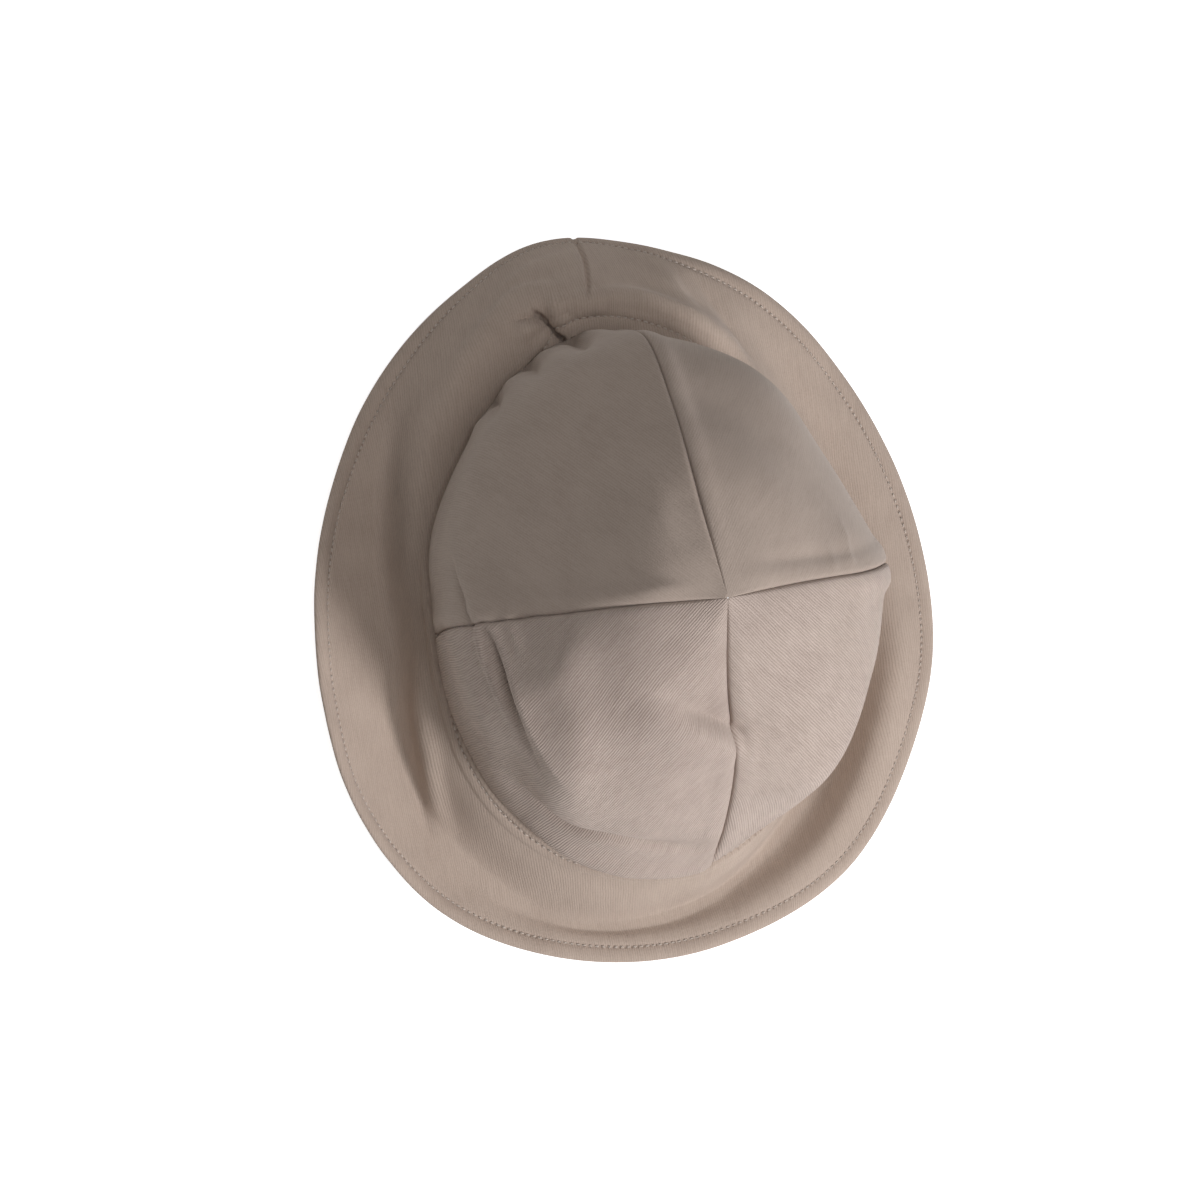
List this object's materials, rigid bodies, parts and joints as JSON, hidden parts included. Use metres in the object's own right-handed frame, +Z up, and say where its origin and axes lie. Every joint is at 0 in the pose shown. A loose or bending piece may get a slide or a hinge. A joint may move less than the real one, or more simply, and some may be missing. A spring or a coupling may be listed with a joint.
{
  "type": "sun hat",
  "caption": "Child's soft jersey sun hat with a pieced crown of seamed panels and a topstitched brim, nearly flat at the front, turned up at the left and down at the back.",
  "frame": {"origin": "on the surface that the hat rests on, under the middle of its footprint", "axes": "+Z up through the crown, -Y towards the front of the brim, +Y towards the back, +X towards the wearer's left"},
  "size_m": [0.208, 0.2354, 0.1183],
  "materials": {
    "crown_jersey": "brushed cotton jersey, matte, fine ribs of knit",
    "brim_jersey": "brushed cotton jersey, matte, double layer"
  },
  "bodies": {
    "root": {"crown_front_left": "crown_jersey", "crown_front_right": "crown_jersey", "crown_back_left": "crown_jersey", "crown_back_right": "crown_jersey", "brim": "brim_jersey"}
  },
  "joints": []
}
